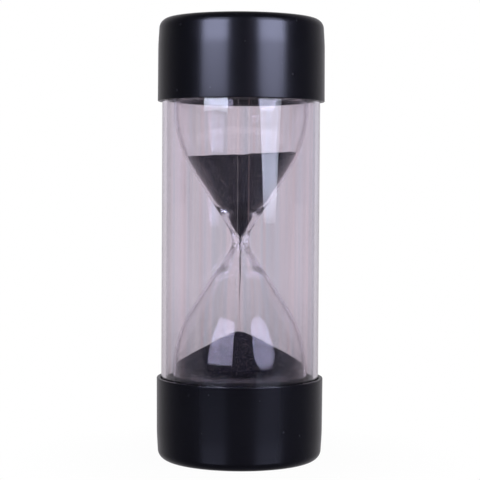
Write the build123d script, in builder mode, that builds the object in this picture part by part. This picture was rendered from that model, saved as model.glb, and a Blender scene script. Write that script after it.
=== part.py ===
from build123d import *
import os
from math import radians, tan

# A sand timer: a blown glass bulb with running sand, held inside a clear tube between two moulded
# caps. All sizes are in millimetres. +Z is up, the origin is the middle of the resting face, and the
# timer is the same above and below its throat, apart from the sand and the filling plug.

# Whole timer
overall_height = 150.0
cap_diameter = 56.8
cap_height = 28.0

# Caps, moulded with an inner collar and ribs that carry the pad
cap_wall = 1.3
cap_floor = 2.6
cap_draft = 0.1
cap_corner_radius = 3.4
crown_height = 9.0
crown_taper = 0.55
crown_radius = 60.0
rim_edge_radius = 0.3
collar_wall = 1.4
rib_pair_count = 3
rib_thickness = 1.4

# Clear tube, a push fit between the skirt and the collar of each cap
tube_wall = 1.5
tube_clearance = 0.25

# Foam pads under and over the bulb
pad_thickness = 3.0
pad_recess = 4.0
pad_side_clearance = 0.7

# Glass bulb, outside
bulb_clearance = 2.2
bulb_side_height = 17.9
bulb_shoulder_radius = 42.0
bulb_end_radius = 4.5
neck_diameter = 6.0
neck_length = 4.4
neck_radius = 7.0

# Glass bulb, inside
bulb_side_wall = 0.9
bulb_cone_wall = 1.05
bulb_end_wall = 1.2
throat_diameter = 1.2
throat_length = 2.0
throat_radius = 3.0
funnel_top_diameter = 8.6
funnel_height = 8.0
funnel_radius = 18.0
cone_foot_diameter = 17.2
cone_foot_height = 12.6
cone_foot_radius = 32.0

# Rubber filling plug in the lower end of the bulb
fill_hole_diameter = 8.0
plug_clearance = 0.05
plug_flange_diameter = 12.0
plug_flange_thickness = 1.5
plug_flange_clearance = 0.5

# Sand, part way through its run
sand_gap = 0.15
upper_sand_depth = 28.8
upper_sand_tilt = 2.7
crater_diameter = 20.0
crater_depth = 4.5
heap_height = 18.5
heap_edge_height = 6.85
heap_crown_radius = 5.7
heap_crown_slope = 26.0
stream_diameter = 0.8
stream_gap = 0.1

# Most of the shorter run beside a corner of the bulb that the corner's rounding may take
neck_share = 0.98
funnel_share = 0.45
shoulder_share = 0.7
end_share = 0.25

# Fits and levels that follow from the sizes above
throat_z = overall_height / 2
cap_radius = cap_diameter / 2
skirt_inner_radius = cap_radius - cap_wall
tube_radius = skirt_inner_radius - tube_clearance
tube_inner_radius = tube_radius - tube_wall
collar_radius = tube_inner_radius - tube_clearance
collar_inner_radius = collar_radius - collar_wall
pad_radius = tube_inner_radius - pad_side_clearance
pad_top_z = cap_height - pad_recess
collar_top_z = pad_top_z - pad_thickness
collar_height = collar_top_z - cap_floor
tube_length = overall_height - 2 * cap_floor
bulb_radius = tube_inner_radius - bulb_clearance
bulb_half_length = throat_z - pad_top_z
bulb_floor_z = pad_top_z + bulb_end_wall
heap_top_z = bulb_floor_z + heap_height

middle_plane = Plane.XY.offset(throat_z)
upper_profile_plane = Plane(origin=(0, 0, throat_z), x_dir=(1, 0, 0), z_dir=(0, -1, 0))
lower_profile_plane = Plane(origin=(0, 0, throat_z), x_dir=(1, 0, 0), z_dir=(0, 1, 0))


def corner_radius(wanted, before, corner, after, share):
    """The wanted rounding of a corner, or as much as its share of the shorter run beside it allows."""
    run_in = Vector(*corner) - Vector(*before)
    run_out = Vector(*after) - Vector(*corner)
    room = share * min(run_in.length, run_out.length)
    return min(wanted, room / tan(radians(run_in.get_angle(run_out) / 2)))


def half_profile(points, wanted_radii, shares):
    """Half of a turned outline: from the throat plane out along the points and back down the axis."""
    radii = []
    for index, wanted in enumerate(wanted_radii):
        before, corner, after = points[index:index + 3]
        radii.append(corner_radius(wanted, before, corner, after, shares[index]))
    with BuildLine() as outline:
        FilletPolyline(*points, radius=radii)
        Polyline(points[-1], (0, 0), points[0])
    return outline.edges()


def bulb_outside():
    """Outer half outline of the bulb: neck, cone, shoulder, side and flat end."""
    neck_r = neck_diameter / 2
    points = [
        (neck_r, 0),
        (neck_r, neck_length / 2),
        (bulb_radius, bulb_half_length - bulb_side_height),
        (bulb_radius, bulb_half_length),
        (0, bulb_half_length),
    ]
    wanted = (neck_radius, bulb_shoulder_radius, bulb_end_radius)
    return half_profile(points, wanted, (neck_share, shoulder_share, end_share))


def bulb_inside(gap=0.0):
    """Half outline of the bulb's hollow: throat, funnel, cone, shoulder, side and flat end.

    A gap draws the outline in on every side, which is the space that the sand may fill.
    """
    end_r = bulb_radius - bulb_side_wall - gap
    shoulder_r = bulb_radius - bulb_cone_wall - gap
    throat_r = throat_diameter / 2 - gap
    end_height = bulb_half_length - bulb_end_wall - gap
    points = [
        (throat_r, 0),
        (throat_r, throat_length / 2),
        (funnel_top_diameter / 2 - gap, funnel_height),
        (cone_foot_diameter / 2 - gap, cone_foot_height),
        (shoulder_r, bulb_half_length - bulb_side_height),
        (end_r, end_height),
        (0, end_height),
    ]
    inner_end_radius = bulb_end_radius - bulb_side_wall
    wanted = (throat_radius, funnel_radius, cone_foot_radius, bulb_shoulder_radius, inner_end_radius)
    shares = (neck_share, funnel_share, funnel_share, shoulder_share, end_share)
    return half_profile(points, wanted, shares)


# Caps: a drafted cup whose closed end tapers a little and is rounded, an inner collar and crossed ribs
with BuildPart() as bottom_cap:
    with BuildSketch(Plane.XZ):
        with BuildLine():
            FilletPolyline(
                (0, 0),
                (cap_radius - cap_draft - crown_taper, 0),
                (cap_radius - cap_draft, crown_height),
                (cap_radius, cap_height),
                radius=(cap_corner_radius, crown_radius),
            )
            Polyline(
                (cap_radius, cap_height),
                (skirt_inner_radius, cap_height),
                (skirt_inner_radius, cap_floor),
                (0, cap_floor),
                (0, 0),
            )
        make_face()
    revolve(axis=Axis.Z)
    fillet(bottom_cap.edges().group_by(Axis.Z)[-1], radius=rim_edge_radius)
    with BuildSketch(Plane.XY.offset(cap_floor)):
        Circle(collar_radius)
        Circle(collar_inner_radius, mode=Mode.SUBTRACT)
        with PolarLocations(0, rib_pair_count, angular_range=180):
            Rectangle(collar_radius + collar_inner_radius, rib_thickness)
    extrude(amount=collar_height)

with BuildPart() as top_cap:
    mirror(bottom_cap.part, about=middle_plane)

# Clear tube, standing on the floors of both caps
with BuildPart() as outer_tube:
    with BuildSketch(Plane.XY.offset(cap_floor)):
        Circle(tube_radius)
        Circle(tube_inner_radius, mode=Mode.SUBTRACT)
    extrude(amount=tube_length)

# Foam pads on the collars, with a hole that clears the plug's flange
with BuildPart() as bottom_pad:
    with BuildSketch(Plane.XY.offset(collar_top_z)):
        Circle(pad_radius)
        Circle(plug_flange_diameter / 2 + plug_flange_clearance, mode=Mode.SUBTRACT)
    extrude(amount=pad_thickness)

with BuildPart() as top_pad:
    mirror(bottom_pad.part, about=middle_plane)

# Glass bulb in one piece, with the filling hole in its lower end
with BuildPart() as glass_bulb:
    with BuildSketch(upper_profile_plane):
        make_face(bulb_outside())
    revolve(axis=Axis.Z)
    with BuildSketch(upper_profile_plane):
        make_face(bulb_inside())
    revolve(axis=Axis.Z, mode=Mode.SUBTRACT)
    mirror(about=middle_plane)
    with BuildSketch(Plane.XY.offset(pad_top_z)):
        Circle(fill_hole_diameter / 2)
    extrude(amount=bulb_end_wall, mode=Mode.SUBTRACT)

# Rubber plug: a stem flush with the glass inside, and a flange under the glass
with BuildPart() as filling_plug:
    with BuildSketch(Plane.XY.offset(pad_top_z)):
        Circle(fill_hole_diameter / 2 - plug_clearance)
    extrude(amount=bulb_end_wall)
    with BuildSketch(Plane.XY.offset(pad_top_z)):
        Circle(plug_flange_diameter / 2)
    extrude(amount=-plug_flange_thickness)

# Upper sand: fills the funnel to a slightly tilted level, with a crater over the throat
level_rise = tan(radians(upper_sand_tilt))
sand_level = Plane(
    origin=(0, 0, throat_z + upper_sand_depth),
    x_dir=(1, 0, level_rise),
    z_dir=(-level_rise, 0, 1),
)

with BuildPart() as upper_sand:
    with BuildSketch(upper_profile_plane):
        make_face(bulb_inside(sand_gap))
    revolve(axis=Axis.Z)
    split(bisect_by=sand_level, keep=Keep.BOTTOM)
    with BuildSketch(upper_profile_plane):
        with BuildLine():
            Polyline(
                (0, upper_sand_depth - crater_depth),
                (crater_diameter, upper_sand_depth + crater_depth),
                (0, upper_sand_depth + crater_depth),
                close=True,
            )
        make_face()
    revolve(axis=Axis.Z, mode=Mode.SUBTRACT)

# Lower sand: a heap with a rounded crown, steeper towards the glass
with BuildPart() as lower_sand:
    with BuildSketch(Plane.XZ):
        with BuildLine():
            crown = JernArc((0, heap_top_z), (1, 0), heap_crown_radius, -heap_crown_slope)
            heap_edge = (bulb_radius, bulb_floor_z + heap_edge_height)
            TangentArc(crown @ 1, heap_edge, tangent=crown % 1)
            Polyline(heap_edge, (bulb_radius, pad_top_z), (0, pad_top_z), (0, heap_top_z))
        make_face()
    revolve(axis=Axis.Z)
    with BuildSketch(lower_profile_plane):
        make_face(bulb_inside(sand_gap))
    revolve(axis=Axis.Z, mode=Mode.INTERSECT)

# Falling stream, from the throat to the top of the heap
with BuildPart() as sand_stream:
    with BuildSketch(Plane.XY.offset(heap_top_z + stream_gap)):
        Circle(stream_diameter / 2)
    extrude(amount=throat_z - heap_top_z - 2 * stream_gap)

pieces = {
    "bottom_cap": bottom_cap,
    "top_cap": top_cap,
    "outer_tube": outer_tube,
    "bottom_pad": bottom_pad,
    "top_pad": top_pad,
    "glass_bulb": glass_bulb,
    "filling_plug": filling_plug,
    "upper_sand": upper_sand,
    "lower_sand": lower_sand,
    "sand_stream": sand_stream,
}

os.makedirs("parts", exist_ok=True)
for name, piece in pieces.items():
    piece.part.label = name
    export_step(piece.part, f"parts/{name}.step")
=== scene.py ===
import math

import bmesh
import bpy
from mathutils import Matrix, Vector, noise


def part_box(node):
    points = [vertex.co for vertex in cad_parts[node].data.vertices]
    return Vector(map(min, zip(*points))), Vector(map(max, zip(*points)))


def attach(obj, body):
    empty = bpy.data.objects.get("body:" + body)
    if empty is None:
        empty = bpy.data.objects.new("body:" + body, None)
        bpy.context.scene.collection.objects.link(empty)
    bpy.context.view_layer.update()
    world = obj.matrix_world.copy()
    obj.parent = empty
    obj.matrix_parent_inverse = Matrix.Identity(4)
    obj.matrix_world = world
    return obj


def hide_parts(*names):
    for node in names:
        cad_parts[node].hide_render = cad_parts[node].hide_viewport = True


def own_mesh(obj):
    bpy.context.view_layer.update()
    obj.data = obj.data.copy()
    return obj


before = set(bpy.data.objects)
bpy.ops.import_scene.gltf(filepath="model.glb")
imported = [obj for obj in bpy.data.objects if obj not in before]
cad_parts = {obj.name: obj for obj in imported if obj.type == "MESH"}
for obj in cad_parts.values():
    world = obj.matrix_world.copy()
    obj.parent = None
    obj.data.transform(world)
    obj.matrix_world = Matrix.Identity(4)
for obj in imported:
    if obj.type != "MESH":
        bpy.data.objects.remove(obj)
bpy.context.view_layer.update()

scene = bpy.context.scene
MM = 0.001

# Sizes that the frame gives
timer_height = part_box("top_cap")[1].z
throat_z = timer_height / 2
cap_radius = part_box("bottom_cap")[1].x
cap_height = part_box("bottom_cap")[1].z
tube_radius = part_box("outer_tube")[1].x
cap_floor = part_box("outer_tube")[0].z
pad_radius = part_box("bottom_pad")[1].x
pad_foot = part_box("bottom_pad")[0].z
pad_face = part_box("bottom_pad")[1].z
plug_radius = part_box("filling_plug")[1].x
bulb_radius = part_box("glass_bulb")[1].x
bulb_half_length = throat_z - pad_face

# Caps
cap_draft = 0.1 * MM
cap_corner = 3.4 * MM
crown_height = 9 * MM
crown_taper = 0.55 * MM
crown_rounding = 60 * MM
cap_wall = 1.3 * MM
rim_rounding = 0.3 * MM
collar_wall = 1.4 * MM
collar_play = 0.25 * MM
rib_arms = 6
rib_thickness = 1.4 * MM
rib_sink = 0.5 * MM
rib_drop = 0.02 * MM

# Tube and pads
tube_wall = 1.5 * MM
tube_edge = 0.2 * MM
pad_edge = 0.6 * MM
pad_hole_play = 0.5 * MM

# Bulb
bulb_side_height = 17.9 * MM
shoulder_rounding = 42 * MM
end_rounding = 4.4 * MM
neck_radius = 3 * MM
neck_half = 2.2 * MM
neck_rounding = 7 * MM
side_wall = 0.9 * MM
cone_wall = 1.05 * MM
end_wall = 1.2 * MM
inner_shoulder_rounding = 39 * MM
inner_end_rounding = 3.6 * MM
throat_radius = 0.6 * MM
throat_half = 1 * MM
throat_rounding = 2.8 * MM
funnel_radius = 4.3 * MM
funnel_height = 8 * MM
funnel_rounding = 13 * MM
cone_foot_radius = 7.87 * MM
cone_foot_height = 11.5 * MM
cone_foot_rounding = 22 * MM
fill_hole_radius = 4 * MM

# Unevenness of the blown glass, where ripples are (spacing, height) pairs
wave_spacing = 9 * MM
wave_height = 0.05 * MM
wave_end = 6 * MM
wave_fade = 12 * MM
ripples = ((1.1 * MM, 0.13 * MM), (0.45 * MM, 0.11 * MM))
ripple_reach = 6 * MM
even_radius = 2 * MM
drawn_in = 0.06 * MM
draw_depth = 4 * MM

# Sand
sand_play = 0.15 * MM
sand_depth = 28.8 * MM
sand_tilt = math.radians(2.7)
crater_radius = 10 * MM
crater_depth = 4.5 * MM
heap_height = 18.5 * MM
heap_edge_height = 6.85 * MM
heap_crown = 5.7 * MM
heap_crown_slope = math.radians(26)
heap_foot = pad_face + end_wall
upper_unevenness = ((6 * MM, 0.7 * MM), (1.6 * MM, 0.15 * MM))
heap_unevenness = ((6 * MM, 0.35 * MM), (1.5 * MM, 0.1 * MM))
SAND_SEED = 7.3

# Blocks that the sand is cut from
upper_reach = 22 * MM
upper_sink = 2 * MM
heap_reach = 23.5 * MM
heap_sink = 10 * MM

# Falling stream: a thread, then loose grains
stream_radius = 0.36 * MM
stream_gap = 0.1 * MM
stream_stray = 0.7 * MM
thread_share = 0.62
thread_taper, thread_taper_power = 0.78, 0.7
thread_unevenness = 0.45
grain_count = 70
grains_from, grains_over = 0.4, 0.59
grain_size = 0.09 * MM
grain_spread = 0.06 * MM
grain_stray = 0.25 * MM

# How finely the turned pieces are cut
TURN_STEPS = 192
ARC_STEP = math.radians(2.5)
ARC_RUN = 0.8 * MM
CAP_RUN = 4 * MM
CUTTER_RUN = 2 * MM
BULB_STEPS = 128
BULB_RUN = 0.85 * MM
RIPPLE_RUN = 0.2 * MM
RIPPLE_ROWS = 12 * MM


# Outlines and turned meshes

def rounded(corners):
    """Outline through (radius, height, rounding) corners, each turned by an arc of its own rounding."""
    points = []
    for index, (r, z, rounding) in enumerate(corners):
        here = Vector((r, z))
        if rounding == 0:
            points.append(here)
            continue
        to_before = (Vector(corners[index - 1][:2]) - here).normalized()
        to_after = (Vector(corners[(index + 1) % len(corners)][:2]) - here).normalized()
        half = to_before.angle(to_after) / 2
        centre = here + (to_before + to_after).normalized() * (rounding / math.sin(half))
        first = here + to_before * (rounding / math.tan(half)) - centre
        last = here + to_after * (rounding / math.tan(half)) - centre
        start = math.atan2(first.y, first.x)
        turn = math.remainder(math.atan2(last.y, last.x) - start, math.tau)
        steps = max(2, math.ceil(abs(turn) / ARC_STEP), math.ceil(abs(turn) * rounding / ARC_RUN))
        for step in range(steps + 1):
            angle = start + turn * step / steps
            points.append(centre + Vector((math.cos(angle), math.sin(angle))) * rounding)
    return points


def divided(points, longest):
    """The outline with no run longer than the given length."""
    out = [points[0]]
    for before, after in zip(points, points[1:]):
        cuts = max(1, math.ceil((after - before).length / longest))
        out += [before.lerp(after, cut / cuts) for cut in range(1, cuts + 1)]
    return out


def turned(outline, closed=False, steps=TURN_STEPS, shift=None):
    """Vertices and faces of an outline turned about Z. A closed outline is a ring's section.

    shift(r, angle, z) gives how far a point moves outwards from the axis.
    """
    vertices, faces, rows = [], [], []
    for r, z in outline:
        if r < 1e-7:
            rows.append([len(vertices)] * steps)
            vertices.append((0, 0, z))
            continue
        rows.append(list(range(len(vertices), len(vertices) + steps)))
        for step in range(steps):
            angle = math.tau * step / steps
            out = r + (shift(r, angle, z) if shift else 0)
            vertices.append((out * math.cos(angle), out * math.sin(angle), z))
    pairs = list(zip(rows, rows[1:])) + ([(rows[-1], rows[0])] if closed else [])
    for low, high in pairs:
        for step in range(steps):
            after = (step + 1) % steps
            corners = [low[step], low[after], high[after], high[step]]
            face = [v for i, v in enumerate(corners) if v not in corners[:i]]
            if len(face) > 2:
                faces.append(face)
    return vertices, faces


def mesh_piece(name, vertices, faces, sharp=40):
    """A new smooth-shaded object, with edges sharper than the given angle kept crisp."""
    mesh = bpy.data.meshes.new(name)
    mesh.from_pydata([tuple(v) for v in vertices], [], faces)
    mesh.validate()
    piece = bpy.data.objects.new(name, mesh)
    scene.collection.objects.link(piece)
    outward(piece)
    mesh.shade_smooth()
    mesh.set_sharp_from_angle(angle=math.radians(sharp))
    return piece


def outward(piece):
    """Turns every face of a closed mesh to look outwards."""
    work = bmesh.new()
    work.from_mesh(piece.data)
    bmesh.ops.recalc_face_normals(work, faces=work.faces)
    work.to_mesh(piece.data)
    work.free()


def dress(piece, material, body, slot, *nodes):
    """Gives a piece its finish, the body it moves with and the solids that it stands for."""
    piece.data.materials.clear()
    piece.data.materials.append(material)
    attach(piece, body)
    if nodes:
        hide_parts(*nodes)
    return piece


def hidden_tool(name, vertices, faces, body):
    """A solid that only shapes another piece. It isn't rendered, but it moves with a body."""
    tool = mesh_piece(name, vertices, faces)
    tool.hide_render = True
    tool.display_type = "WIRE"
    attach(tool, body)
    return tool


def combined(piece, label, operation, tool):
    """Joins a hidden solid to a piece, or cuts the piece to it."""
    change = piece.modifiers.new(label, "BOOLEAN")
    change.operation = operation
    change.solver = "EXACT"
    change.object = tool


def flipped(points):
    """An outline mirrored about the throat."""
    return [Vector((r, 2 * throat_z - z)) for r, z in points]


# Shader helpers

def place(tree, kind, **values):
    """A new node, with the named inputs or properties set."""
    made = tree.nodes.new(kind)
    for key, value in values.items():
        label = key.replace("_", " ")
        if label in made.inputs:
            made.inputs[label].default_value = value
        else:
            setattr(made, key, value)
    return made


def join(tree, source, output, target, name):
    """Links an output of one node to an input of another, each by its name or number."""
    tree.links.new(source.outputs[output], target.inputs[name])


def effect(name, inputs, outputs):
    """An empty shader node group with the given named sockets, and its two ends."""
    group = bpy.data.node_groups.new(name, "ShaderNodeTree")
    for label, default in inputs.items():
        socket = group.interface.new_socket(label, in_out="INPUT", socket_type="NodeSocketFloat")
        socket.default_value = default
    for label in outputs:
        group.interface.new_socket(label, in_out="OUTPUT", socket_type="NodeSocketFloat")
    return group, group.nodes.new("NodeGroupInput"), group.nodes.new("NodeGroupOutput")


def use(tree, group, **values):
    """Places a shared effect in a material, with its own values."""
    made = tree.nodes.new("ShaderNodeGroup")
    made.node_tree = group
    for label, value in values.items():
        made.inputs[label.replace("_", " ")].default_value = value
    return made


def finish_of(name, colour, **values):
    """A new material and its Principled shader, with constant values set on its sockets."""
    material = bpy.data.materials.new(name)
    material.use_nodes = True
    shader = material.node_tree.nodes["Principled BSDF"]
    shader.inputs["Base Color"].default_value = (*colour, 1)
    for label, value in values.items():
        shader.inputs[label.replace("_", " ")].default_value = value
    return material, material.node_tree, shader


def bare_material(name):
    """A new material that holds nothing but its output node."""
    material = bpy.data.materials.new(name)
    material.use_nodes = True
    tree = material.node_tree
    tree.nodes.clear()
    return material, tree, place(tree, "ShaderNodeOutputMaterial")


def either(tree, first, second, operation):
    """A math node over two outputs or plain values."""
    made = place(tree, "ShaderNodeMath", operation=operation)
    for index, source in enumerate((first, second)):
        if isinstance(source, (int, float)):
            made.inputs[index].default_value = source
        else:
            tree.links.new(source, made.inputs[index])
    return made.outputs[0]


def ranged(tree, source, values, interpolation="SMOOTHSTEP"):
    """An output carried from one range to another. values are the ends of the first, then the second."""
    made = place(tree, "ShaderNodeMapRange", interpolation_type=interpolation)
    for label, value in zip(("From Min", "From Max", "To Min", "To Max"), values):
        made.inputs[label].default_value = value
    tree.links.new(source, made.inputs["Value"])
    return made


def parted(tree, output="Object"):
    """The X, Y and Z of the place that is shaded, in the object's own frame or by another output."""
    apart = place(tree, "ShaderNodeSeparateXYZ")
    join(tree, place(tree, "ShaderNodeTexCoord"), output, apart, "Vector")
    return apart


def colour_ramp(tree, stops):
    """A ramp through (position, colour) stops."""
    ramp = place(tree, "ShaderNodeValToRGB")
    elements = ramp.color_ramp.elements
    while len(elements) < len(stops):
        elements.new(0.5)
    for element, (position, colour) in zip(elements, stops):
        element.position = position
        element.color = (*colour, 1)
    return ramp


def mixed(tree, factor, first, second):
    """A mix of two shaders by an output."""
    mixer = place(tree, "ShaderNodeMixShader")
    tree.links.new(factor, mixer.inputs[0])
    join(tree, first, 0, mixer, 1)
    join(tree, second, 0, mixer, 2)
    return mixer


def blend_colours(tree, mask, output, first, second, target):
    """Feeds a colour socket with a mix of two colours by a mask."""
    mixer = place(tree, "ShaderNodeMix", data_type="RGBA", A=(*first, 1), B=(*second, 1))
    join(tree, mask, output, mixer, "Factor")
    tree.links.new(mixer.outputs["Result"], target)


def shaded(tree, mask, reach, levels, colour):
    """A colour multiplied by a grey that runs between two levels over the reach of a mask."""
    grey = ranged(tree, mask, (*reach, *levels))
    scaled = place(tree, "ShaderNodeVectorMath", operation="SCALE")
    tree.links.new(colour, scaled.inputs[0])
    join(tree, grey, "Result", scaled, "Scale")
    return scaled.outputs[0]


def spread(tree, source, output, low, high, target):
    """Feeds a socket with a mask stretched between two values."""
    stretched = ranged(tree, source.outputs[output], (*MASK_SPAN, low, high), "LINEAR")
    tree.links.new(stretched.outputs["Result"], target)


def add_bump(tree, shader, source, output, strength, distance):
    """Roughens a shader's surface by a height."""
    bump = place(tree, "ShaderNodeBump", Strength=strength, Distance=distance)
    join(tree, source, output, bump, "Height")
    join(tree, bump, "Normal", shader, "Normal")


# Shared effects

def moulding_grain():
    """Fine, even roughness of a moulded or foamed skin, as a height and a mask."""
    inputs = {"Size": 900.0, "Patches": 60.0}
    group, ends_in, ends_out = effect("moulding grain", inputs, ["Height", "Mask"])
    where = place(group, "ShaderNodeTexCoord")
    fine = place(group, "ShaderNodeTexNoise", Detail=3.0, Roughness=0.6)
    broad = place(group, "ShaderNodeTexNoise", Detail=2.0, Roughness=0.5)
    for texture, size, output in ((fine, "Size", "Height"), (broad, "Patches", "Mask")):
        join(group, where, "Object", texture, "Vector")
        join(group, ends_in, size, texture, "Scale")
        join(group, texture, "Fac", ends_out, output)
    return group


def dust_specks():
    """Scattered pale specks, as a mask."""
    group, ends_in, ends_out = effect("dust specks", {"Size": 700.0, "Share": 0.04}, ["Mask"])
    cells = place(group, "ShaderNodeTexVoronoi", feature="F1")
    join(group, place(group, "ShaderNodeTexCoord"), "Object", cells, "Vector")
    join(group, ends_in, "Size", cells, "Scale")
    pick = place(group, "ShaderNodeSeparateColor")
    join(group, cells, "Color", pick, "Color")
    chosen = either(group, pick.outputs["Red"], ends_in.outputs["Share"], "LESS_THAN")
    core = ranged(group, cells.outputs["Distance"], (0.35, 0.15, 0.0, 1.0), "LINEAR")
    speck = either(group, chosen, core.outputs["Result"], "MULTIPLY")
    group.links.new(speck, ends_out.inputs["Mask"])
    return group


def drawn_streaks():
    """Streaks along Z that drawing leaves in a wall, as a broad mask and a fine height."""
    inputs = {"Broad": 150.0, "Fine": 700.0, "Stretch": 0.01}
    group, ends_in, ends_out = effect("drawn streaks", inputs, ["Mask", "Height"])
    apart = parted(group)
    along = place(group, "ShaderNodeCombineXYZ")
    join(group, apart, "X", along, "X")
    join(group, apart, "Y", along, "Y")
    slow = either(group, apart.outputs["Z"], ends_in.outputs["Stretch"], "MULTIPLY")
    group.links.new(slow, along.inputs["Z"])
    for size, output in (("Broad", "Mask"), ("Fine", "Height")):
        texture = place(group, "ShaderNodeTexNoise", Detail=2.0, Roughness=0.55)
        join(group, along, 0, texture, "Vector")
        join(group, ends_in, size, texture, "Scale")
        join(group, texture, "Fac", ends_out, output)
    return group


GRAIN = moulding_grain()
SPECKS = dust_specks()
STREAKS = drawn_streaks()
# Where most of the noise in the shared masks lies
MASK_SPAN = (0.3, 0.7)


# Materials

def cap_plastic():
    """Satin blue-black moulded plastic, with a faint grain, uneven sheen and a little dust."""
    black, dust = (0.0062, 0.006, 0.0086), (0.05, 0.05, 0.055)
    material, tree, shader = finish_of("satin black plastic", black, Roughness=0.21,
                                       Specular_IOR_Level=0.26, Specular_Tint=(0.88, 0.86, 1.0, 1))
    grain = use(tree, GRAIN, Size=1400.0, Patches=90.0)
    spread(tree, grain, "Mask", 0.215, 0.255, shader.inputs["Roughness"])
    specks = use(tree, SPECKS, Size=900.0, Share=0.012)
    blend_colours(tree, specks, "Mask", black, dust, shader.inputs["Base Color"])
    add_bump(tree, shader, grain, "Height", 0.05, 0.05 * MM)
    return material


def let_lamps_through(tree, shader, tint):
    """Lamps shine through clear walls, so that what is inside is lit."""
    path = place(tree, "ShaderNodeLightPath")
    clear = place(tree, "ShaderNodeBsdfTransparent", Color=(*tint, 1))
    mixer = mixed(tree, path.outputs["Is Shadow Ray"], shader, clear)
    join(tree, mixer, 0, tree.nodes["Material Output"], "Surface")


def clear_plastic():
    """Clear mauve-grey plastic: streaks of its drawing, painted shade deepening its edges and foot."""
    material, tree, shader = finish_of("clear tube plastic", (0.74, 0.7, 0.745), Roughness=0.0, IOR=1.42,
                                       Transmission_Weight=1.0)
    streaks = use(tree, STREAKS, Broad=110.0, Fine=380.0, Stretch=0.01)
    hues = colour_ramp(tree, (
        (0.32, (0.785, 0.72, 0.755)),
        (0.44, (0.745, 0.72, 0.785)),
        (0.5, (0.785, 0.71, 0.76)),
        (0.58, (0.725, 0.72, 0.795)),
        (0.68, (0.77, 0.715, 0.77)),
    ))
    join(tree, streaks, "Mask", hues, "Fac")
    streaked = shaded(tree, streaks.outputs["Height"], MASK_SPAN, (0.95, 1.05), hues.outputs["Color"])
    facing = place(tree, "ShaderNodeLayerWeight", Blend=0.5).outputs["Facing"]
    # Darker where the wall is seen edge-on: partly the longer way through the wall, partly painted shade
    edge_shaded = shaded(tree, facing, (0.5, 0.95), (1.0, 0.58), streaked)
    # Painted shade: the colour darkens towards the foot of the tube
    height = parted(tree).outputs["Z"]
    lower = shaded(tree, height, (25 * MM, 65 * MM), (0.82, 0.977), edge_shaded)
    tree.links.new(lower, shader.inputs["Base Color"])
    add_bump(tree, shader, streaks, "Height", 0.05, 0.05 * MM)
    let_lamps_through(tree, shader, (0.86, 0.84, 0.86))
    return material


def bulb_glass():
    """Clear blown glass with faint drawing lines. Its edges let light by, most just below the throat."""
    material, tree, shader = finish_of("blown glass", (0.998, 0.997, 0.995), Roughness=0.0, IOR=1.52,
                                       Transmission_Weight=1.0, Specular_Tint=(0.45, 0.45, 0.45, 1))
    streaks = use(tree, STREAKS, Broad=90.0, Fine=250.0, Stretch=0.3)
    blend_colours(tree, streaks, "Mask", (0.995, 0.993, 0.99), (1.0, 1.0, 1.0),
                  shader.inputs["Base Color"])
    add_bump(tree, shader, streaks, "Height", 0.04, 0.05 * MM)
    facing = place(tree, "ShaderNodeLayerWeight", Blend=0.5).outputs["Facing"]
    clearest_z = throat_z - 4 * MM
    above = either(tree, parted(tree).outputs["Z"], clearest_z, "SUBTRACT")
    from_clearest = either(tree, above, 0, "ABSOLUTE")
    clearness = place(tree, "ShaderNodeMix", data_type="FLOAT")
    for source, values, target in (
        (facing, (0.66, 0.92, 1.0, 0.25), "A"),
        (facing, (0.25, 0.8, 1.0, 0.2), "B"),
        (from_clearest, (5 * MM, 9 * MM, 1.0, 0.0), "Factor"),
    ):
        join(tree, ranged(tree, source, values), "Result", clearness, target)
    join(tree, clearness, "Result", shader, "Alpha")
    let_lamps_through(tree, shader, (0.97, 0.97, 0.97))
    return material


def black_sand():
    """Black sand: dull dark grains among a few brown and shiny ones."""
    material, tree, shader = finish_of("black sand", (0.004, 0.004, 0.005), Roughness=0.75,
                                       Specular_IOR_Level=0.14, Specular_Tint=(0.76, 0.78, 1.0, 1))
    grains = place(tree, "ShaderNodeTexVoronoi", Scale=3200.0)
    join(tree, place(tree, "ShaderNodeTexCoord"), "Object", grains, "Vector")
    pick = place(tree, "ShaderNodeSeparateColor")
    join(tree, grains, "Color", pick, "Color")
    shades = colour_ramp(tree, (
        (0.0, (0.0007, 0.0007, 0.0014)),
        (0.9, (0.009, 0.009, 0.015)),
        (0.965, (0.07, 0.06, 0.058)),
    ))
    join(tree, pick, "Red", shades, "Fac")
    join(tree, shades, "Color", shader, "Base Color")
    spread(tree, pick, "Green", 0.55, 0.9, shader.inputs["Roughness"])
    add_bump(tree, shader, grains, "Distance", 0.6, 0.12 * MM)
    return material


def pad_foam():
    """Black closed-cell foam."""
    material, tree, shader = finish_of("black foam", (0.02, 0.02, 0.022), Roughness=0.85)
    grain = use(tree, GRAIN, Size=2600.0, Patches=400.0)
    blend_colours(tree, grain, "Mask", (0.016, 0.016, 0.018), (0.034, 0.034, 0.037),
                  shader.inputs["Base Color"])
    add_bump(tree, shader, grain, "Height", 0.5, 0.15 * MM)
    return material


def plug_rubber():
    """Dull dark rubber with a little dust."""
    rubber, dust = (0.03, 0.03, 0.03), (0.14, 0.13, 0.12)
    material, tree, shader = finish_of("plug rubber", rubber, Roughness=0.7)
    grain = use(tree, GRAIN, Size=1800.0, Patches=300.0)
    specks = use(tree, SPECKS, Size=900.0, Share=0.03)
    blend_colours(tree, specks, "Mask", rubber, dust, shader.inputs["Base Color"])
    spread(tree, grain, "Mask", 0.6, 0.8, shader.inputs["Roughness"])
    add_bump(tree, shader, grain, "Height", 0.3, 0.1 * MM)
    return material


CAP_PLASTIC = cap_plastic()
CLEAR_PLASTIC = clear_plastic()
BULB_GLASS = bulb_glass()
BLACK_SAND = black_sand()
PAD_FOAM = pad_foam()
PLUG_RUBBER = plug_rubber()


# Caps

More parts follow.
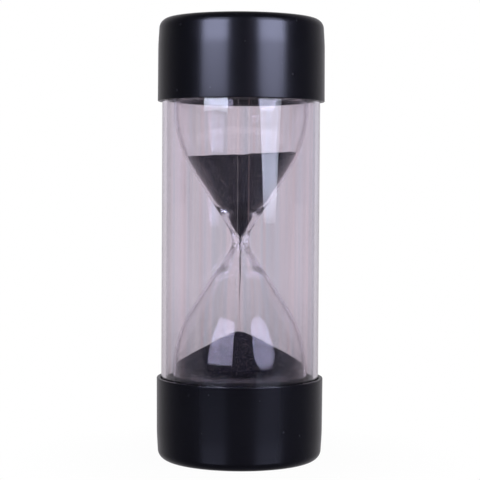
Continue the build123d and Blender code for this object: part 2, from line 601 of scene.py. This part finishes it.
def cap_outline():
    """Section of a cap: rounded end, drafted skirt, rim, and the collar inside."""
    skirt_inside = cap_radius - cap_wall
    collar_outside = tube_radius - tube_wall - collar_play
    collar_inside = collar_outside - collar_wall
    return rounded([
        (0, 0, 0),
        (cap_radius - cap_draft - crown_taper, 0, cap_corner),
        (cap_radius - cap_draft, crown_height, crown_rounding),
        (cap_radius, cap_height, rim_rounding),
        (skirt_inside, cap_height, rim_rounding),
        (skirt_inside, cap_floor, 0),
        (collar_outside, cap_floor, 0),
        (collar_outside, pad_foot, 0),
        (collar_inside, pad_foot, 0),
        (collar_inside, cap_floor, 0),
        (0, cap_floor, 0),
    ])


def rib_star(name, foot, top, body):
    """Hidden solid of the crossed ribs inside a cap, which the moulding takes in."""
    reach = tube_radius - tube_wall - collar_play - collar_wall / 2
    half = rib_thickness / 2
    ring = []
    for arm in range(rib_arms):
        turn = Matrix.Rotation(math.tau * arm / rib_arms, 2)
        between_arms = Matrix.Rotation(math.tau * (arm + 0.5) / rib_arms, 2)
        ring += [turn @ Vector((reach, -half)), turn @ Vector((reach, half))]
        ring.append(between_arms @ Vector((half / math.sin(math.pi / rib_arms), 0)))
    count = len(ring)
    vertices = [(x, y, z) for z in (foot, top) for x, y in ring]
    faces = [(i, (i + 1) % count, count + (i + 1) % count, count + i) for i in range(count)]
    faces += [tuple(range(count - 1, -1, -1)), tuple(range(count, 2 * count))]
    return hidden_tool(name, vertices, faces, body)


def make_cap(name, outline, body, node):
    """A turned cap, joined with the ribs inside it."""
    vertices, faces = turned(divided(outline, CAP_RUN))
    piece = mesh_piece(name, vertices, faces)
    upright = outline[0].y < throat_z
    levels = [cap_floor - rib_sink, pad_foot - rib_drop]
    if not upright:
        levels = [timer_height - z for z in levels[::-1]]
    combined(piece, "ribs", "UNION", rib_star(name + "_ribs", *levels, body))
    return dress(piece, CAP_PLASTIC, body, "cap_plastic", node)


make_cap("bottom_cap_moulding", cap_outline(), "base", "bottom_cap")
make_cap("top_cap_moulding", flipped(cap_outline()), "cap", "top_cap")


# Clear tube

def make_tube():
    """A ring section with slightly broken edges, turned to a tube."""
    inside = tube_radius - tube_wall
    top = timer_height - cap_floor
    outline = rounded([
        (tube_radius, cap_floor, tube_edge),
        (tube_radius, top, tube_edge),
        (inside, top, tube_edge),
        (inside, cap_floor, tube_edge),
    ])
    vertices, faces = turned(outline, closed=True)
    piece = mesh_piece("clear_tube", vertices, faces)
    return dress(piece, CLEAR_PLASTIC, "base", "clear_plastic", "outer_tube")


make_tube()


# Foam pads

def pad_outline():
    """Section of a pad, with soft edges and a hole that clears the plug's flange."""
    hole = plug_radius + pad_hole_play
    return rounded([
        (pad_radius, pad_foot, pad_edge),
        (pad_radius, pad_face, pad_edge),
        (hole, pad_face, pad_edge),
        (hole, pad_foot, pad_edge),
    ])


def make_pad(name, outline, body, node):
    """A turned foam disc."""
    vertices, faces = turned(outline, closed=True)
    piece = dress(mesh_piece(name, vertices, faces), PAD_FOAM, body, "pad_foam", node)
    return piece


make_pad("bottom_foam_pad", pad_outline(), "base", "bottom_pad")
make_pad("top_foam_pad", flipped(pad_outline()), "cap", "top_pad")


# Glass bulb

def bulb_outside():
    """Upper half of the outer outline, from the throat plane to the middle of the flat end."""
    corners = [
        (neck_radius, 0, 0),
        (neck_radius, neck_half, neck_rounding),
        (bulb_radius, bulb_half_length - bulb_side_height, shoulder_rounding),
        (bulb_radius, bulb_half_length, end_rounding),
        (0, bulb_half_length, 0),
    ]
    return [Vector((r, z + throat_z)) for r, z in rounded(corners)]


def bulb_inside(play=0.0):
    """Outline of the upper bulb's hollow. Play draws it in, for what fills the hollow."""
    end = bulb_half_length - end_wall - play
    corners = [
        (throat_radius - play, 0, 0),
        (throat_radius - play, throat_half, throat_rounding),
        (funnel_radius - play, funnel_height, funnel_rounding),
        (cone_foot_radius - play, cone_foot_height, cone_foot_rounding),
        (bulb_radius - cone_wall - play, bulb_half_length - bulb_side_height, inner_shoulder_rounding),
        (bulb_radius - side_wall - play, end, inner_end_rounding),
        (0, end, 0),
    ]
    return [Vector((r, z + throat_z)) for r, z in rounded(corners)]


def glass_waves(r, angle, z):
    """Unevenness of the blown glass: slight on the bulbs, rippled round the worked neck.

    The widest part is drawn in, so that no wave stands outside the solid.
    """
    from_neck = abs(z - throat_z)
    where = Vector((r * math.cos(angle), r * math.sin(angle), z))
    wave = noise.noise(where / wave_spacing) * wave_height
    ends = min(1.0, max(0.0, (bulb_half_length - wave_end - from_neck) / wave_fade))
    ripple = sum(noise.noise(where / spacing) * height for spacing, height in ripples)
    worked = math.exp(-(from_neck / ripple_reach) ** 2)
    widest = max(0.0, 1 - (bulb_radius - r) / draw_depth)
    return (wave * ends + worked * ripple) * min(1.0, r / even_radius) - drawn_in * widest ** 2


def bulb_rows(outline):
    """Points along half of a bulb's outline, close together where the glass is rippled."""
    even = divided(outline, BULB_RUN)
    worked = [point for point in even if point.y - throat_z < RIPPLE_ROWS]
    return divided(worked, RIPPLE_RUN) + even[len(worked):]


def beside_hole(points):
    """The points of a lower outline that the filling hole leaves."""
    cone_foot_z = throat_z - cone_foot_height
    return [point for point in points if point.x > fill_hole_radius or point.y > cone_foot_z]


def make_bulb():
    """One turned skin: down the outside, in through the filling hole and up the inside."""
    outside = bulb_rows(bulb_outside())
    inside = bulb_rows(bulb_inside())
    hole = [Vector((fill_hole_radius, z)) for z in (pad_face, heap_foot)]
    outline = outside[::-1] + beside_hole(flipped(outside))[1:] + hole
    outline += beside_hole(flipped(inside))[::-1] + inside[1:]
    vertices, faces = turned(outline, steps=BULB_STEPS, shift=glass_waves)
    piece = mesh_piece("blown_bulb", vertices, faces)
    return dress(piece, BULB_GLASS, "base", "bulb_glass", "glass_bulb")


make_bulb()


# Sand

def hollow_cutter(name, outline):
    """Hidden solid of one bulb's hollow. Sand that moves is cut to it, so it never leaves the glass."""
    axis_foot = Vector((0, outline[0].y))
    vertices, faces = turned([axis_foot] + divided(outline, CUTTER_RUN))
    return hidden_tool(name, vertices, faces, "base")


def sand_block(name, surface, reach, foot, rings=70, steps=144):
    """Closed block of sand: a surface of height surface(x, y) above a deep straight foot."""
    vertices, faces = [(0, 0, surface(0, 0))], []
    for ring in range(1, rings + 1):
        r = reach * ring / rings
        for step in range(steps):
            angle = math.tau * (step + 0.5 * (ring % 2)) / steps
            x, y = r * math.cos(angle), r * math.sin(angle)
            vertices.append((x, y, surface(x, y)))
    for step in range(steps):
        faces.append((0, 1 + step, 1 + (step + 1) % steps))
    for ring in range(rings - 1):
        low, high = 1 + ring * steps, 1 + (ring + 1) * steps
        for step in range(steps):
            after = (step + 1) % steps
            faces.append((low + step, high + step, high + after, low + after))
    edge, floor = 1 + (rings - 1) * steps, len(vertices)
    for step in range(steps):
        x, y, _ = vertices[edge + step]
        vertices.append((x, y, foot))
    for step in range(steps):
        after = (step + 1) % steps
        faces.append((edge + step, floor + step, floor + after, edge + after))
    faces.append(tuple(range(floor + steps - 1, floor - 1, -1)))
    return mesh_piece(name, vertices, faces)


def settled(x, y, unevenness):
    """Gentle unevenness of a sand surface, from (spacing, height) pairs."""
    places = [(Vector((x / spacing, y / spacing, SAND_SEED)), height) for spacing, height in unevenness]
    return sum(noise.noise(where) * height for where, height in places)


def upper_surface(x, y):
    """Level of the sand still to run: tilted, uneven, with a crater over the throat."""
    level = throat_z + sand_depth + x * math.tan(sand_tilt)
    dip = crater_depth * max(0.0, 1 - math.hypot(x, y) / crater_radius)
    return level - dip + settled(x, y, upper_unevenness)


def heap_surface(x, y):
    """Heap of sand that has run: a rounded crown, then flanks that steepen to the glass."""
    r = math.hypot(x, y)
    top = heap_foot + heap_height
    crown_reach = heap_crown * math.sin(heap_crown_slope)
    crown_drop = heap_crown * (1 - math.cos(heap_crown_slope))
    if r < crown_reach:
        drop = heap_crown - math.sqrt(heap_crown ** 2 - r ** 2)
    else:
        out = r - crown_reach
        far = bulb_radius - crown_reach
        fall = heap_height - heap_edge_height - crown_drop
        slope = math.tan(heap_crown_slope)
        drop = crown_drop + slope * out + (fall - slope * far) * (out / far) ** 2
    return top - drop + settled(x, y, heap_unevenness)


def make_sand():
    """Both blocks of sand, cut to the hollows of the bulb."""
    label = "kept inside the glass"
    upper_cutter = hollow_cutter("upper_hollow", bulb_inside(sand_play))
    lower_cutter = hollow_cutter("lower_hollow", flipped(bulb_inside(sand_play)))
    upper = sand_block("upper_sand_fill", upper_surface, upper_reach, throat_z - upper_sink)
    combined(upper, label, "INTERSECT", upper_cutter)
    dress(upper, BLACK_SAND, "falling_sand", "black_sand", "upper_sand")
    lower = sand_block("lower_sand_heap", heap_surface, heap_reach, pad_face - heap_sink)
    combined(lower, label, "INTERSECT", lower_cutter)
    dress(lower, BLACK_SAND, "rising_sand", "black_sand", "lower_sand")


make_sand()


def stream_bend(down):
    """How far the stream strays from the axis, by its share of the way down."""
    aside = Vector([noise.noise(Vector((down * 4, seed, 0))) for seed in (1.7, 9.1)])
    return aside * stream_stray * down


def thread_of_sand(top, foot, rings=90, steps=10):
    """The unbroken upper part of the stream, which thins as the grains gain speed."""
    vertices, faces = [], []
    for ring in range(rings + 1):
        down = ring / rings
        z = top + (foot - top) * down
        bend = stream_bend(down * thread_share)
        uneven = 1 + thread_unevenness * noise.noise(Vector((down * 40, 3.1, 0)))
        thick = stream_radius * (1 - thread_taper * down ** thread_taper_power) * uneven
        for step in range(steps):
            angle = math.tau * step / steps
            vertices.append((bend.x + thick * math.cos(angle), bend.y + thick * math.sin(angle), z))
    for ring in range(rings):
        for step in range(steps):
            after = (step + 1) % steps
            low, high = ring * steps, (ring + 1) * steps
            faces.append((low + step, low + after, high + after, high + step))
    faces.append(tuple(range(steps)))
    faces.append(tuple(range(rings * steps + steps - 1, rings * steps - 1, -1)))
    return vertices, faces


def loose_grain(centre, size):
    """An eight-sided grain."""
    ways = [(1, 0, 0), (0, 1, 0), (-1, 0, 0), (0, -1, 0), (0, 0, 1.3), (0, 0, -1.3)]
    corners = [centre + Vector(way) * size for way in ways]
    faces = [(i, (i + 1) % 4, 4) for i in range(4)] + [((i + 1) % 4, i, 5) for i in range(4)]
    return corners, faces


def make_stream():
    """Falling sand: a thread below the throat that breaks up into loose grains."""
    top = throat_z - stream_gap
    foot = heap_foot + heap_height + stream_gap
    broken = top + (foot - top) * thread_share
    vertices, faces = thread_of_sand(top, broken)
    for grain in range(grain_count):
        turn = grain + 0.5 + 0.4 * noise.noise(Vector((grain * 7.7, 2.2, 0)))
        down = grains_from + grains_over * turn / grain_count
        stray = Vector((noise.noise(Vector((grain * 3.3, 0.4, 5))),
                        noise.noise(Vector((grain * 5.1, 8.4, 1)))))
        aside = stream_bend(down) + stray * grain_stray * down
        size = grain_size + grain_spread * noise.noise(Vector((grain * 2.9, 6.2, 3)))
        centre = Vector((aside.x, aside.y, top + (foot - top) * down))
        corners, sides = loose_grain(centre, size)
        faces += [tuple(len(vertices) + i for i in side) for side in sides]
        vertices += corners
    piece = mesh_piece("falling_stream", vertices, faces)
    dress(piece, BLACK_SAND, "base", "black_sand", "sand_stream")
    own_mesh(piece)
    return piece


make_stream()

# The filling plug keeps its solid's shape
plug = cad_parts["filling_plug"]
plug.data.materials.clear()
plug.data.materials.append(PLUG_RUBBER)


# Studio: places in metres from the timer's axis, and the brightness of what the glass mirrors
table_reach = 0.236
table_behind = 0.03
table_ahead = -0.01
table_sheen = (0.08, 0.2, 0.55, 0.07)
table_far_sheen = (0.2, 0.215, 0.0, 0.55)
table_shadow = (0.028, 0.08, 0.975, 1.0)
table_ahead_gain = 0.5
table_back_glow = 0.92
beyond_glow = 0.05
room_glow = 0.17
band_distance, band_half, band_strength = 0.294, 0.05, 2.3
bent_light = 0.25
cloth_colour = (0.86, 0.925, 1.16)
lamp_colour = (0.95, 0.96, 1.05)
lamp_height = 0.7
lamp_power = 9.0
strip_distance = 0.7
strip_foot, strip_top = -0.05, 0.5
# The panel that the bulb mirrors stands a little nearer, clear of the other one
bulb_panel_share = 0.98
# How many surfaces of clear walls a ray has crossed, halfway between two counts
IN_TUBE, AT_BULB, IN_BULB = 0.5, 3.5, 4.5


def straight_view(tree):
    """1 for what the eye sees, directly or through clear walls without a mirroring on the way."""
    path = place(tree, "ShaderNodeLightPath")
    unmirrored = either(tree, path.outputs["Glossy Depth"], 0.5, "LESS_THAN")
    through = either(tree, path.outputs["Is Transmission Ray"], unmirrored, "MULTIPLY")
    return either(tree, path.outputs["Is Camera Ray"], through, "MAXIMUM"), path


def make_floor():
    """Pale table top that reads white and keeps the timer's soft shadow.

    Mirrored in the glass it is a faint sheen over what stands behind it, up to its front edge. The bulb
    also mirrors a pale band across it, which is the arc at the foot of the heap.
    """
    vertices, faces = turned([Vector((r, 0)) for r in (0, 0.3, 0.8, 4)], steps=64)
    floor = mesh_piece("floor", vertices, faces)
    material, tree, end = bare_material("pale floor")
    seen, path = straight_view(tree)
    walls = path.outputs["Transmission Depth"]
    inside = either(tree, walls, IN_TUBE, "GREATER_THAN")
    on_bulb = either(tree, walls, AT_BULB, "GREATER_THAN")
    deep = either(tree, walls, IN_BULB, "GREATER_THAN")
    length = place(tree, "ShaderNodeVectorMath", operation="LENGTH")
    join(tree, place(tree, "ShaderNodeTexCoord"), "Object", length, 0)
    away = length.outputs["Value"]
    across = parted(tree).outputs["Y"]
    behind = either(tree, across, table_behind, "GREATER_THAN")
    ahead = either(tree, across, table_ahead, "LESS_THAN")
    past_edge = either(tree, across, -table_reach, "LESS_THAN")

    # To the eye: white, and dull towards the timer's foot for its shadow
    dull = place(tree, "ShaderNodeBsdfDiffuse", Color=(0.8, 0.8, 0.8, 1))
    white = place(tree, "ShaderNodeEmission", Color=(1, 1, 1, 1), Strength=1.0)
    share = ranged(tree, away, table_shadow, "LINEAR").outputs["Result"]
    lit = mixed(tree, either(tree, seen, share, "MULTIPLY"), dull, white)

    # Mirrored: the sheen of the table top, over what stands behind it
    sheen = ranged(tree, away, table_sheen, "LINEAR").outputs["Result"]
    far_sheen = ranged(tree, away, table_far_sheen).outputs["Result"]
    nearer = either(tree, either(tree, ahead, table_ahead_gain, "MULTIPLY"), 1, "ADD")
    top_shine = either(tree, either(tree, sheen, nearer, "MULTIPLY"), far_sheen, "MAXIMUM")
    band = place(tree, "ShaderNodeMath", operation="COMPARE")
    tree.links.new(away, band.inputs[0])
    band.inputs[1].default_value, band.inputs[2].default_value = band_distance, band_half
    bulb_band = either(tree, either(tree, band.outputs[0], ahead, "MULTIPLY"), on_bulb, "MULTIPLY")
    top_shine = either(tree, top_shine, either(tree, bulb_band, band_strength, "MULTIPLY"), "MAXIMUM")
    level = either(tree, top_shine, either(tree, behind, table_back_glow, "MULTIPLY"), "MAXIMUM")
    bent = either(tree, deep, bent_light, "MULTIPLY")
    level = either(tree, level, bent, "MAXIMUM")
    pale = place(tree, "ShaderNodeEmission", Color=(0.98, 0.95, 0.98, 1))
    tree.links.new(either(tree, level, inside, "MULTIPLY"), pale.inputs["Strength"])
    gone = place(tree, "ShaderNodeBsdfTransparent")
    covered = either(tree, behind, inside, "MULTIPLY")
    tree.links.new(either(tree, 1, covered, "SUBTRACT"), gone.inputs["Color"])
    table = place(tree, "ShaderNodeAddShader")
    join(tree, gone, 0, table, 0)
    join(tree, pale, 0, table, 1)

    # Mirrored past the front edge: nearly dark, apart from the bulb's band
    dark = place(tree, "ShaderNodeEmission", Color=(0.95, 0.93, 1.05, 1))
    tree.links.new(either(tree, bent, beyond_glow, "MAXIMUM"), dark.inputs["Strength"])
    beyond = mixed(tree, either(tree, past_edge, bulb_band, "GREATER_THAN"), table, dark)
    mirrored = either(tree, path.outputs["Glossy Depth"], 0.5, "GREATER_THAN")
    join(tree, mixed(tree, mirrored, lit, beyond), 0, end, "Surface")
    floor.data.materials.append(material)


def make_panel(name, azimuth, distance, outline, levels, colour=cloth_colour, in_bulb=None):
    """A lit upright panel that faces the timer and is only seen mirrored.

    levels are (height, strength) pairs, because a softbox's cloth isn't lit evenly. in_bulb says whether
    the panel is one that only the bulb mirrors, or one that everything else mirrors.
    """
    mesh = bpy.data.meshes.new(name)
    mesh.from_pydata([(x, 0, z) for x, z in outline], [], [tuple(range(len(outline)))])
    panel = bpy.data.objects.new(name, mesh)
    scene.collection.objects.link(panel)
    turn = math.radians(azimuth)
    panel.location = (distance * math.sin(turn), -distance * math.cos(turn), 0)
    panel.rotation_euler = (0, 0, turn)
    material, tree, end = bare_material(name + " cloth")
    foot, top = levels[0][0], levels[-1][0]
    brightest = max(strength for _, strength in levels)
    height = ranged(tree, parted(tree).outputs["Z"], (foot, top, 0.0, 1.0), "LINEAR")
    greys = [((z - foot) / (top - foot), [strength / brightest] * 3) for z, strength in levels]
    ramp = colour_ramp(tree, greys)
    join(tree, height, "Result", ramp, "Fac")
    surface = glow = place(tree, "ShaderNodeEmission", Color=(*colour, 1))
    tree.links.new(either(tree, ramp.outputs["Color"], brightest, "MULTIPLY"), glow.inputs["Strength"])
    if in_bulb is not None:
        # A ray that the bulb's front wall mirrors has crossed 4 to 6 surfaces
        path = place(tree, "ShaderNodeLightPath")
        from_five = either(tree, path.outputs["Transmission Depth"], 5, "SUBTRACT")
        walls = either(tree, from_five, 0, "ABSOLUTE")
        shown = either(tree, walls, 2, "LESS_THAN" if in_bulb else "GREATER_THAN")
        if in_bulb:
            mirrored = either(tree, path.outputs["Glossy Depth"], 0.5, "GREATER_THAN")
            shown = either(tree, shown, mirrored, "MULTIPLY")
        surface = mixed(tree, shown, place(tree, "ShaderNodeBsdfTransparent"), glow)
    join(tree, surface, 0, end, "Surface")
    mesh.materials.append(material)
    panel.visible_camera = False
    panel.visible_diffuse = False
    return panel


def panel_outline(width, low, high, cut=0):
    """An upright panel's outline. cut is how much of each corner is taken off."""
    half = width / 2
    if cut == 0:
        return [(-half, low), (half, low), (half, high), (-half, high)]
    return [(-half + cut, low), (half - cut, low), (half, low + cut), (half, high - cut),
            (half - cut, high), (-half + cut, high), (-half, high - cut), (-half, low + cut)]


def make_softbox(name, azimuth, distance, low, high, width, cut, levels,
                 bulb_turn, bulb_width, bulb_levels, shine):
    """A tall lit cloth panel and its lamp.

    bulb_levels are those of the panel as the bulb mirrors it, from bulb_turn further round. shine gives
    the levels of its dim image in the table top, which the bottom cap mirrors.
    """
    panel = make_panel(name, azimuth, distance, panel_outline(width, low, high, cut), levels, in_bulb=False)
    bulb_outline = panel_outline(bulb_width, bulb_levels[0][0], high, cut)
    make_panel(name + "_in_bulb", azimuth + bulb_turn, bulb_panel_share * distance, bulb_outline,
               bulb_levels, in_bulb=True)
    shine_outline = panel_outline(width, shine[0][0], shine[-1][0])
    make_panel(name + "_shine", azimuth, distance, shine_outline, shine)
    lamp = bpy.data.lights.new(name + " lamp", "AREA")
    lamp.shape = "RECTANGLE"
    lamp.size = width
    lamp.size_y = lamp_height
    lamp.color = lamp_colour
    lamp.energy = lamp_power
    lit = bpy.data.objects.new(name + "_lamp", lamp)
    lit.location = panel.location + Vector((0, 0, low + lamp_height / 2))
    lit.rotation_euler = (math.radians(90), 0, math.radians(azimuth))
    lit.visible_camera = False
    lit.visible_glossy = False
    lit.visible_transmission = False
    scene.collection.objects.link(lit)


def make_strip(name, azimuth, width, strength, colour):
    """A narrow upright thing in front of the timer that catches light, mirrored as a thin line."""
    levels = ((strip_foot, strength), (strip_top, strength))
    make_panel(name, azimuth, strip_distance, panel_outline(width, strip_foot, strip_top), levels, colour)


def make_world():
    """White to the eye and through clear walls. Mirrored, the room is dim in front and pale behind."""
    world = bpy.data.worlds.new("studio")
    scene.world = world
    world.use_nodes = True
    tree = world.node_tree
    tree.nodes.clear()
    end = place(tree, "ShaderNodeOutputWorld")
    seen, path = straight_view(tree)
    walls = path.outputs["Transmission Depth"]
    apart = parted(tree, "Generated")

    # As the outside of the timer mirrors it: dim in front, dimmer upwards
    front = ranged(tree, apart.outputs["Z"], (-0.15, 0.15, 0.2, 0.105))
    outer = ranged(tree, apart.outputs["Y"], (0.0, 1.0, 0.0, 0.5))
    join(tree, front, "Result", outer, "To Min")

    # As it is mirrored inside the tube: pale behind and overhead
    bent = either(tree, either(tree, walls, IN_BULB, "GREATER_THAN"), bent_light, "MULTIPLY")
    inner = ranged(tree, apart.outputs["Y"], (0.0, 0.7, 0.0, 0.95))
    tree.links.new(either(tree, bent, room_glow, "MAXIMUM"), inner.inputs["To Min"])
    ceiling = ranged(tree, apart.outputs["Z"], (0.45, 0.85, 0.0, 0.9))
    inner_level = either(tree, inner.outputs["Result"], ceiling.outputs["Result"], "MAXIMUM")

    pick = place(tree, "ShaderNodeMix", data_type="FLOAT")
    tree.links.new(either(tree, walls, IN_TUBE, "GREATER_THAN"), pick.inputs["Factor"])
    join(tree, outer, "Result", pick, "A")
    tree.links.new(inner_level, pick.inputs["B"])
    room = place(tree, "ShaderNodeBackground")
    blend_colours(tree, inner, "Result", (0.88, 0.9, 1.15), (0.98, 0.95, 0.99), room.inputs["Color"])
    join(tree, pick, "Result", room, "Strength")
    white = place(tree, "ShaderNodeBackground", Color=(1, 1, 1, 1), Strength=1.0)
    join(tree, mixed(tree, seen, room, white), 0, end, "Surface")


make_floor()
make_softbox(
    "left_softbox", azimuth=-36.3, distance=0.7, low=0.157, high=0.84, width=0.444, cut=0,
    levels=((0.157, 3.6), (0.16, 5.5), (0.1625, 16.0), (0.165, 18.0), (0.168, 17.0), (0.175, 6.0),
            (0.2, 6.0), (0.25, 16.0), (0.3, 20.0), (0.36, 17.0), (0.45, 8.0), (0.84, 4.2)),
    bulb_turn=2.8, bulb_width=0.52,
    bulb_levels=((0.112, 20.0), (0.15, 21.0), (0.2, 23.0), (0.24, 27.0), (0.3, 36.0), (0.36, 31.0),
                 (0.45, 17.0), (0.84, 12.0)),
    shine=((-0.45, 1.5), (-0.2, 1.2), (-0.12, 0.62), (-0.073, 0.55), (-0.064, 0.12), (-0.01, 0.1)),
)
make_softbox(
    "right_softbox", azimuth=42, distance=0.75, low=0.062, high=0.9, width=0.5, cut=0.14,
    levels=((0.062, 2.5), (0.075, 4.5), (0.081, 5.0), (0.088, 8.6), (0.1185, 8.6), (0.125, 4.1),
            (0.15, 4.5), (0.2, 7.2), (0.25, 16.0), (0.3, 20.0), (0.36, 17.0), (0.45, 8.0), (0.9, 4.6)),
    bulb_turn=2, bulb_width=0.5,
    bulb_levels=((0.056, 5.0), (0.083, 5.0), (0.088, 18.0), (0.118, 20.5), (0.15, 22.0), (0.184, 25.0),
                 (0.217, 27.5), (0.3, 33.0), (0.36, 30.0), (0.45, 17.5), (0.9, 12.0)),
    shine=((-0.45, 1.7), (-0.2, 1.35), (-0.12, 0.72), (-0.078, 0.65), (-0.068, 0.12), (-0.01, 0.1)),
)
make_strip("pale_strip", azimuth=-4.3, width=0.012, strength=1.5, colour=(1.0, 0.98, 1.0))
make_strip("warm_strip", azimuth=11.5, width=0.014, strength=1.5, colour=(1.0, 0.72, 0.72))
make_world()

scene.view_settings.view_transform = "Standard"
scene.cycles.max_bounces = 24
scene.cycles.transmission_bounces = 24
scene.cycles.glossy_bounces = 8
scene.cycles.transparent_max_bounces = 32

# Camera, at the photographed angle
camera_distance = 0.522
camera_height = 0.0954
camera_tilt = math.radians(2.25)
camera_roll = math.radians(0.34)
camera_aside = -0.14 * MM
camera_data = bpy.data.cameras.new("camera")
camera_data.sensor_width = 36
camera_data.lens = 114.6
camera = bpy.data.objects.new("camera", camera_data)
camera.location = (camera_aside, -camera_distance, camera_height)
level_view = Matrix.Rotation(math.radians(90) - camera_tilt, 3, "X")
camera.rotation_euler = (level_view @ Matrix.Rotation(camera_roll, 3, "Z")).to_euler()
scene.collection.objects.link(camera)
scene.camera = camera
